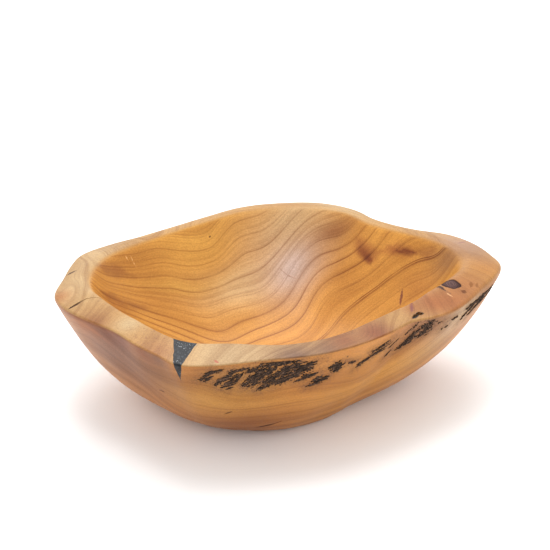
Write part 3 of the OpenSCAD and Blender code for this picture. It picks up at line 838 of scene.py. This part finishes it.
def wood_finish():
    material, tree, shader = new_material("root_wood")
    place = put(tree, "ShaderNodeTexCoord").outputs["Object"]
    grain = put(tree, "ShaderNodeAttribute", attribute_name="grain").outputs["Vector"]
    marks = put(tree, "ShaderNodeAttribute", attribute_name="marks").outputs["Vector"]
    tone = put(tree, "ShaderNodeAttribute", attribute_name="tone").outputs["Color"]
    line, along, gain = put(tree, "ShaderNodeSeparateXYZ", {0: grain}).outputs
    burl, stain, _ = put(tree, "ShaderNodeSeparateXYZ", {0: marks}).outputs
    drift = maths(tree, "SUBTRACT", noise_at(tree, place, 22.0, 2.0), 0.5)
    line = maths(tree, "MULTIPLY_ADD", drift, 0.1, line)
    figure = put(tree, "ShaderNodeGroup", node_tree=grain_group)
    tree.links.new(line, figure.inputs["Line"])
    tree.links.new(along, figure.inputs["Along"])
    crowding = put(tree, "ShaderNodeAttribute", attribute_name="crowding").outputs["Fac"]
    tree.links.new(crowding, figure.inputs["Crowding"])
    seen = figure.outputs
    colour = blend(tree, "MULTIPLY", 1.0, tone, ramp(tree, seen["Band"], [
        (0.3, (0.84, 0.78, 0.72)), (0.5, (1.0, 1.0, 1.0)), (0.7, (1.08, 1.1, 1.12))]))
    cloud = noise_at(tree, place, 26.0, 4.0)
    colour = blend(tree, "MULTIPLY", 1.0, colour, ramp(tree, cloud, [
        (0.3, (0.9, 0.86, 0.82)), (0.7, (1.06, 1.07, 1.08))]))
    deep = blend(tree, "MULTIPLY", 1.0, colour, LINE_SHADE)
    fade = ramp(tree, noise_at(tree, place, 30.0, 2.0), [(0.3, 0.35), (0.6, 1.0)])
    share = maths(tree, "MULTIPLY", maths(tree, "MULTIPLY", seen["Line"], fade), gain)
    colour = blend(tree, "MIX", share, colour, deep)
    share = maths(tree, "MULTIPLY", maths(tree, "MULTIPLY", seen["Fine"], 0.28), gain)
    colour = blend(tree, "MIX", share, colour, deep)
    colour = blend(tree, "MULTIPLY", 1.0, colour, ramp(tree, seen["Fibre"], [
        (0.3, (0.91, 0.89, 0.86)), (0.7, (1.07, 1.08, 1.09))]))
    colour = blend(tree, "MIX", maths(tree, "MULTIPLY", seen["Pore"], 0.22), colour, deep)
    curls = put(tree, "ShaderNodeTexNoise", {
        "Vector": place, "Scale": 300.0, "Detail": 4.0, "Roughness": 0.7, "Distortion": 1.5,
    }).outputs["Fac"]
    speckle = maths(tree, "MULTIPLY", ramp(tree, curls, [(0.54, 0.0), (0.68, 1.0)]), burl)
    colour = blend(tree, "MIX", maths(tree, "MULTIPLY", speckle, 0.85), colour, BURL_BROWN)
    patchy = ramp(tree, noise_at(tree, place, 260.0, 3.0, 0.6), [(0.3, 0.3), (0.65, 1.0)])
    smear = maths(tree, "MULTIPLY", patchy, stain)
    colour = blend(tree, "MIX", maths(tree, "MULTIPLY", smear, 0.6), colour, STAIN_BROWN)
    specks = ramp(tree, noise_at(tree, place, 900.0, 3.0, 0.75), [(0.5, 0.0), (0.62, 1.0)])
    crumbs = maths(tree, "MULTIPLY", specks, smear)
    colour = blend(tree, "MIX", maths(tree, "MULTIPLY", crumbs, 0.75), colour, CRUMB_BROWN)
    stipple = noise_at(tree, place, 1250.0, 2.0, 0.7)
    colour = blend(tree, "MULTIPLY", 1.0, colour, ramp(tree, stipple, [
        (0.3, (0.82, 0.79, 0.76)), (0.7, (1.15, 1.16, 1.18))]))
    mm = put(tree, "ShaderNodeVectorMath", {0: place, "Scale": 1 / MM}, operation="SCALE").outputs[0]
    wobble = put(tree, "ShaderNodeTexNoise", {"Vector": mm, "Scale": 0.8, "Detail": 2.0}).outputs["Color"]
    wobble = vector(tree, "SUBTRACT", wobble, (0.5, 0.5, 0.5))
    wobble = put(tree, "ShaderNodeVectorMath", {0: wobble, "Scale": 1.4}, operation="SCALE").outputs[0]
    ragged = vector(tree, "ADD", mm, wobble)
    dent = 0.0
    for start, end, width, code, strength in FLECKS:
        fleck = put(tree, "ShaderNodeGroup", node_tree=fleck_group)
        tree.links.new(ragged, fleck.inputs["Place"])
        fleck.inputs["Start"].default_value = start
        fleck.inputs["End"].default_value = end
        fleck.inputs["Width"].default_value = width
        share = maths(tree, "MULTIPLY", fleck.outputs["Mask"], strength)
        colour = blend(tree, "MIX", share, colour, tuple(linear(code)))
        dent = maths(tree, "MAXIMUM", share, dent)
    tree.links.new(colour, shader["Base Color"])
    rough = ramp(tree, seen["Fibre"], [(0.2, 0.38), (0.8, 0.52)])
    rough = blend(tree, "MIX", maths(tree, "MAXIMUM", stain, dent), rough, (0.8, 0.8, 0.8))
    tree.links.new(rough, shader["Roughness"])
    shader["Specular IOR Level"].default_value = 0.15
    shader["Coat Weight"].default_value = 0.2
    shader["Coat Roughness"].default_value = 0.3
    height = maths(tree, "MULTIPLY_ADD", seen["Pore"], -0.5, seen["Fibre"])
    height = maths(tree, "MULTIPLY_ADD", stipple, 0.3, height)
    height = maths(tree, "MULTIPLY_ADD", maths(tree, "MAXIMUM", dent, smear), -1.5, height)
    bump = put(tree, "ShaderNodeBump", {"Height": height, "Strength": 0.35, "Distance": 0.0002})
    tree.links.new(bump.outputs["Normal"], shader["Normal"])
    return material


def finish(obj, material, node, angle=35):
    """Gives a piece its one material, smooths it below an angle, and puts it in the CAD node's place."""
    obj.data.materials.clear()
    obj.data.materials.append(material)
    obj.data.polygons.foreach_set("material_index", [0] * len(obj.data.polygons))
    bpy.ops.object.select_all(action="DESELECT")
    obj.select_set(True)
    bpy.context.view_layer.objects.active = obj
    bpy.ops.object.shade_smooth_by_angle(angle=math.radians(angle))
    bpy.ops.object.select_all(action="DESELECT")
    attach(obj, "root")
    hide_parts(node)


finish(wood, wood_finish(), "bowl_body")


# ---------------------------------------------------------------- the resin wedge
# Black casting resin poured level into the split, with crushed pale stone
# sprinkled into it before it set, then sanded flush with the rim.

def resin_finish():
    material, tree, shader = new_material("resin")
    place = put(tree, "ShaderNodeTexCoord").outputs["Object"]
    cloud = noise_at(tree, place, 260.0, 3.0)
    colour = ramp(tree, cloud, [(0.3, (0.003, 0.003, 0.004)), (0.7, (0.018, 0.021, 0.026))])
    grit = put(tree, "ShaderNodeTexVoronoi", {"Vector": place, "Scale": 1100.0, "Randomness": 1.0})
    pick = put(tree, "ShaderNodeSeparateColor", {0: grit.outputs["Color"]}).outputs[0]
    crowd = ramp(tree, noise_at(tree, place, 130.0, 2.0), [(0.4, 0.25), (0.6, 1.0)])
    pale = maths(tree, "MULTIPLY", ramp(tree, pick, [(0.72, 0.0), (0.92, 1.0)]), crowd)
    colour = blend(tree, "MIX", maths(tree, "MULTIPLY", pale, 0.4), colour, (0.12, 0.13, 0.145))
    dark = ramp(tree, pick, [(0.1, 1.0), (0.3, 0.0)])
    colour = blend(tree, "MIX", maths(tree, "MULTIPLY", dark, 0.8), colour, (0.012, 0.013, 0.015))
    tree.links.new(colour, shader["Base Color"])
    tree.links.new(ramp(tree, cloud, [(0.3, 0.25), (0.7, 0.45)]), shader["Roughness"])
    shader["Specular IOR Level"].default_value = 0.2
    bump = put(tree, "ShaderNodeBump", {"Height": pick, "Strength": 0.3, "Distance": 0.0002})
    tree.links.new(bump.outputs["Normal"], shader["Normal"])
    return material


finish(pour, resin_finish(), "resin_wedge")


# ---------------------------------------------------------------- the crushed stone
# Broken bits of pale stone, up to 1.6 mm across, sprinkled into the resin in two
# heaps before it set. They stand a hair above it.

def stone_finish():
    material, tree, shader = new_material("stone")
    place = put(tree, "ShaderNodeTexCoord").outputs["Object"]
    cloud = noise_at(tree, place, 500.0, 3.0)
    colour = ramp(tree, cloud, [
        (0.35, (0.04, 0.045, 0.05)), (0.5, (0.16, 0.17, 0.18)), (0.65, (0.5, 0.52, 0.54))])
    tree.links.new(colour, shader["Base Color"])
    tree.links.new(ramp(tree, cloud, [(0.3, 0.45), (0.7, 0.2)]), shader["Roughness"])
    height = noise_at(tree, place, 2500.0)
    bump = put(tree, "ShaderNodeBump", {"Height": height, "Strength": 0.3, "Distance": 0.0001})
    tree.links.new(bump.outputs["Normal"], shader["Normal"])
    return material


# The stones lie along the trough, from its wide end to its narrow end, in mm
CHIP_COUNT = 46
WIDE_END, NARROW_END = Vector((-47.2, -81.5)), Vector((-52.6, -99.0))
WIDE, NARROW = 15.5, 5.0
BARE_FROM, BARE_TO = 0.42, 0.8     # the stretch between the two heaps
pick = random.Random(7)
chips = []
while len(chips) < CHIP_COUNT:
    out = pick.uniform(0, 1) ** 1.4
    side = pick.uniform(-0.42, 0.42)
    if BARE_FROM < out < BARE_TO:
        continue
    middle = WIDE_END.lerp(NARROW_END, out)
    width = WIDE * (1 - out) + NARROW * out
    x, y = middle.x + side * width * 0.95, middle.y - side * width * 0.3
    size = pick.uniform(0.3, 0.8) * (1 - 0.3 * out)
    radius = math.hypot(x - RIM_CENTRE[0], y - RIM_CENTRE[1])
    bearing = math.degrees(math.atan2(y - RIM_CENTRE[1], x - RIM_CENTRE[0]))
    s = rim_at([bearing])[0]
    z = RIM_HEIGHT + s[3] - RIM_SLOPE * (radius - s[1]) - size * 0.35
    bpy.ops.object.select_all(action="DESELECT")
    bpy.ops.mesh.primitive_ico_sphere_add(subdivisions=1, radius=size * MM, location=(x * MM, y * MM, z * MM))
    chip = bpy.context.active_object
    chip.rotation_euler = [pick.uniform(0, 6) for _ in range(3)]
    chip.scale = (1, pick.uniform(0.5, 0.9), pick.uniform(0.5, 0.8))
    chips.append(chip)
for chip in chips:
    chip.select_set(True)
bpy.context.view_layer.objects.active = chips[0]
bpy.ops.object.join()
stones = settle(bpy.context.view_layer.objects.active, "crushed_stone")
finish(stones, stone_finish(), "stone_chips", 5)


# ---------------------------------------------------------------- the dead knot
# The end of a branch that died inside the root: dense purple-grey wood, loose
# in a ring of its own dark bark, sanded down with the rim.

def knot_finish():
    material, tree, shader = new_material("knot_wood")
    place = put(tree, "ShaderNodeTexCoord").outputs["Object"]
    mm = put(tree, "ShaderNodeVectorMath", {0: place, "Scale": 1 / MM}, operation="SCALE").outputs[0]
    flat = put(tree, "ShaderNodeVectorMath", {0: mm, 1: (1, 1, 0)}, operation="MULTIPLY").outputs[0]
    off = vector(tree, "SUBTRACT", flat, (*KNOT, 0))
    gap = vector(tree, "LENGTH", off, result=1)
    rough = noise_at(tree, mm, 0.35, 3.0)
    ring = maths(tree, "MULTIPLY_ADD", rough, 2.5, gap)
    wave = maths(tree, "MULTIPLY_ADD", maths(tree, "SINE", maths(tree, "MULTIPLY", ring, 5.0)), 0.5, 0.5)
    colour = ramp(tree, wave, [(0.0, (0.045, 0.02, 0.018)), (1.0, (0.14, 0.07, 0.06))])
    edge = ramp(tree, maths(tree, "DIVIDE", ring, 8.0), [(0.5, (1.0, 1.0, 1.0)), (0.82, (0.35, 0.22, 0.2))])
    colour = blend(tree, "MULTIPLY", 1.0, colour, edge)
    colour = blend(tree, "MULTIPLY", 1.0, colour, ramp(tree, noise_at(tree, mm, 1.6, 3.0), [
        (0.35, (0.7, 0.68, 0.66)), (0.65, (1.2, 1.2, 1.2))]))
    tree.links.new(colour, shader["Base Color"])
    tree.links.new(ramp(tree, wave, [(0.0, 0.5), (1.0, 0.65)]), shader["Roughness"])
    shader["Specular IOR Level"].default_value = 0.15
    bump = put(tree, "ShaderNodeBump", {"Height": wave, "Strength": 0.3, "Distance": 0.0002})
    tree.links.new(bump.outputs["Normal"], shader["Normal"])
    return material


KNOT_SUNK = 0.2                    # below the rim, in mm
set_coordinates(plug, coordinates(plug) - np.array([0, 0, KNOT_SUNK * MM]))
finish(plug, knot_finish(), "rim_knot")


# ---------------------------------------------------------------- the old bark
# Thin ragged strips of inner bark left on the outside when it was sanded. They
# are black-brown, fibrous, and lean with the grain. Each strip is a sheet that
# follows the wall and comes out of the wood only where the bark held on.

def bark_finish():
    material, tree, shader = new_material("bark")
    place = put(tree, "ShaderNodeTexCoord").outputs["Object"]
    fibre = put(tree, "ShaderNodeAttribute", attribute_name="fibre").outputs["Vector"]
    strand = noise_at(tree, fibre, 1.0, 3.0, 0.6)
    grains = noise_at(tree, place, 1300.0, 3.0, 0.7)
    mix = maths(tree, "MULTIPLY_ADD", strand, 0.6, maths(tree, "MULTIPLY", grains, 0.4))
    colour = ramp(tree, mix, [
        (0.40, (0.008, 0.006, 0.005)), (0.5, (0.035, 0.022, 0.015)),
        (0.56, (0.11, 0.06, 0.038)), (0.64, (0.26, 0.15, 0.095))])
    tree.links.new(colour, shader["Base Color"])
    tree.links.new(ramp(tree, grains, [(0.3, 0.75), (0.7, 0.95)]), shader["Roughness"])
    shader["Specular IOR Level"].default_value = 0.15
    bump = put(tree, "ShaderNodeBump", {"Height": mix, "Strength": 0.8, "Distance": 0.0006})
    tree.links.new(bump.outputs["Normal"], shader["Normal"])
    return material


bark_material = bark_finish()
# For each strip: first and last bearing, lowest and highest share of the wall
BARK_SPANS = {
    "bark_front": (240, 284, 0.74, 0.985), "bark_sliver": (276, 293, 0.72, 0.88),
    "bark_drop": (284, 300, 0.8, 0.97), "bark_streak": (294, 318, 0.78, 0.97),
    "bark_corner": (313, 337, 0.7, 0.985), "bark_flakes": (334, 350, 0.78, 0.95),
    "bark_end": (344, 366, 0.8, 0.985),
}
BARK_ROWS, COLUMNS_PER_DEGREE = 90, 6
FRONT_FIBRES, END_FIBRES = (0.72, 0.2, 0.66), (0.7, 0.65, 0.3)     # which way the fibres lie
BARK_BACK = 1.6                    # how far a sheet's back lies under the wall, in mm
BARK_HIDDEN = 0.9                  # how far its face lies under it where there is no bark
BARK_THICK, BARK_RIDGES = 1.25, 0.45


def bark_sheet(node):
    """A closed sheet along the wall, whose face comes out of the wood where the strokes are."""
    first, last, low, high = BARK_SPANS[node]
    rows, columns = BARK_ROWS, int((last - first) * COLUMNS_PER_DEGREE)
    bpy.ops.object.select_all(action="DESELECT")
    bpy.ops.mesh.primitive_grid_add(x_subdivisions=columns, y_subdivisions=rows, size=2)
    sheet = bpy.context.active_object
    flat = coordinates(sheet)
    a = first + (last - first) * (flat[:, 0] + 1) / 2
    u = low + (high - low) * (flat[:, 1] + 1) / 2
    spot = outer_point(a, rim_at(a), u)
    aside = outer_point(a + 0.2, rim_at(a + 0.2), u) - spot
    above = outer_point(a, rim_at(a), u + 0.002) - spot
    normal = np.cross(aside, above)
    normal /= np.linalg.norm(normal, axis=1)[:, None]
    cover = np.full(len(spot), -9.0)
    along = np.array(END_FIBRES if node == "bark_end" else FRONT_FIBRES)
    along = along - normal * (normal @ along)[:, None]
    along /= np.linalg.norm(along, axis=1)[:, None]
    across = np.cross(normal, along)
    lie = np.sum(spot * along, axis=1)
    off = np.sum(spot * across, axis=1)
    ragged = np.array([
        noise.fractal(Vector((x * 0.25, y * 1.2, 3.0)), 0.6, 2.3, 5) for x, y in zip(lie, off)
    ])
    for stroke in BARK[node]:
        gap, t = stroke_gap(spot, stroke)
        width = stroke[2] * (0.45 + 2.2 * np.sqrt(np.clip(t * (1 - t), 0, 1)))
        cover = np.maximum(cover, (width - gap) / stroke[2])
    crumbs = np.array([noise.noise(Vector(p) * 0.9) for p in spot])
    cover += ragged * 1.7 + crumbs * 0.9 - 0.1
    ridge = np.array([
        noise.fractal(Vector((x * 0.3, y * 1.6, 9.0)), 0.7, 2.2, 4) for x, y in zip(lie, off)
    ])
    proud = -BARK_HIDDEN + smooth(cover, -0.35, 0.35) * (BARK_THICK + BARK_RIDGES * ridge)
    top = spot + normal * proud[:, None]
    bpy.ops.object.mode_set(mode="EDIT")
    bpy.ops.mesh.select_all(action="SELECT")
    bpy.ops.mesh.extrude_region_move(TRANSFORM_OT_translate={"value": (0, 0, -1)})
    bpy.ops.object.mode_set(mode="OBJECT")
    both = coordinates(sheet)

    def seat(grid):
        """The column and the row of each point of a flat grid."""
        column = np.round((grid[:, 0] + 1) / 2 * columns).astype(int)
        row = np.round((grid[:, 1] + 1) / 2 * rows).astype(int)
        return column, row

    index = np.zeros((columns + 1, rows + 1), int)
    index[seat(flat)] = np.arange(len(flat))
    source = index[seat(both)]
    back = (spot - normal * BARK_BACK)[source]
    lower = both[:, 2] < -0.5
    set_coordinates(sheet, np.where(lower[:, None], back, top[source]) * MM)
    fibre = sheet.data.attributes.new("fibre", "FLOAT_VECTOR", "POINT")
    values = np.stack([lie[source] * 0.25, off[source] * 2.2, np.zeros(len(source))], -1)
    fibre.data.foreach_set("vector", values.astype(np.float32).ravel())
    bpy.ops.object.mode_set(mode="EDIT")
    bpy.ops.mesh.select_all(action="SELECT")
    bpy.ops.mesh.normals_make_consistent(inside=False)
    bpy.ops.object.mode_set(mode="OBJECT")
    return settle(sheet, node + "_strip")


for node in BARK:
    finish(bark_sheet(node), bark_material, node, 60)


# ---------------------------------------------------------------- the table, light and camera
# A wide sheet of matt white paper under the bowl, two square softboxes over it in
# a white room, and a long lens that looks down at the bowl's front.
bpy.ops.object.select_all(action="DESELECT")
bpy.ops.mesh.primitive_plane_add(size=6, location=(0, 0, 0))
table = settle(bpy.context.active_object, "table")
paper = bpy.data.materials.new("paper")
paper.use_nodes = True
paper.node_tree.nodes["Principled BSDF"].inputs["Base Color"].default_value = (0.95, 0.95, 0.95, 1)
paper.node_tree.nodes["Principled BSDF"].inputs["Roughness"].default_value = 0.9
table.data.materials.append(paper)

world = bpy.data.worlds.new("studio")
world.use_nodes = True
world.node_tree.nodes["Background"].inputs["Color"].default_value = (1, 1, 1, 1)
world.node_tree.nodes["Background"].inputs["Strength"].default_value = 1.15
bpy.context.scene.world = world
bpy.context.scene.view_settings.view_transform = "Standard"

# A big softbox over the back of the table, and a small one overhead
for name, size, energy, place, tilt in (
    ("softbox", 0.8, 7.0, (0.0, 0.4, 0.95), -22),
    ("spot", 0.25, 1.5, (-0.12, -0.03, 1.0), 3),
):
    lamp = bpy.data.lights.new(name, "AREA")
    lamp.shape = "SQUARE"
    lamp.size = size
    lamp.energy = energy
    softbox = bpy.data.objects.new(name, lamp)
    softbox.location = place
    softbox.rotation_euler = (math.radians(tilt), 0, 0)
    bpy.context.scene.collection.objects.link(softbox)

VIEW_TILT = math.radians(27)
VIEW_DISTANCE = 1.0
aim = Vector((0.007, 0.0336, 0.076))
lens = bpy.data.cameras.new("camera")
lens.lens = 95
camera = bpy.data.objects.new("camera", lens)
camera.location = aim + VIEW_DISTANCE * Vector((0, -math.cos(VIEW_TILT), math.sin(VIEW_TILT)))
camera.rotation_euler = (math.pi / 2 - VIEW_TILT, 0, 0)
bpy.context.scene.collection.objects.link(camera)
bpy.context.scene.camera = camera
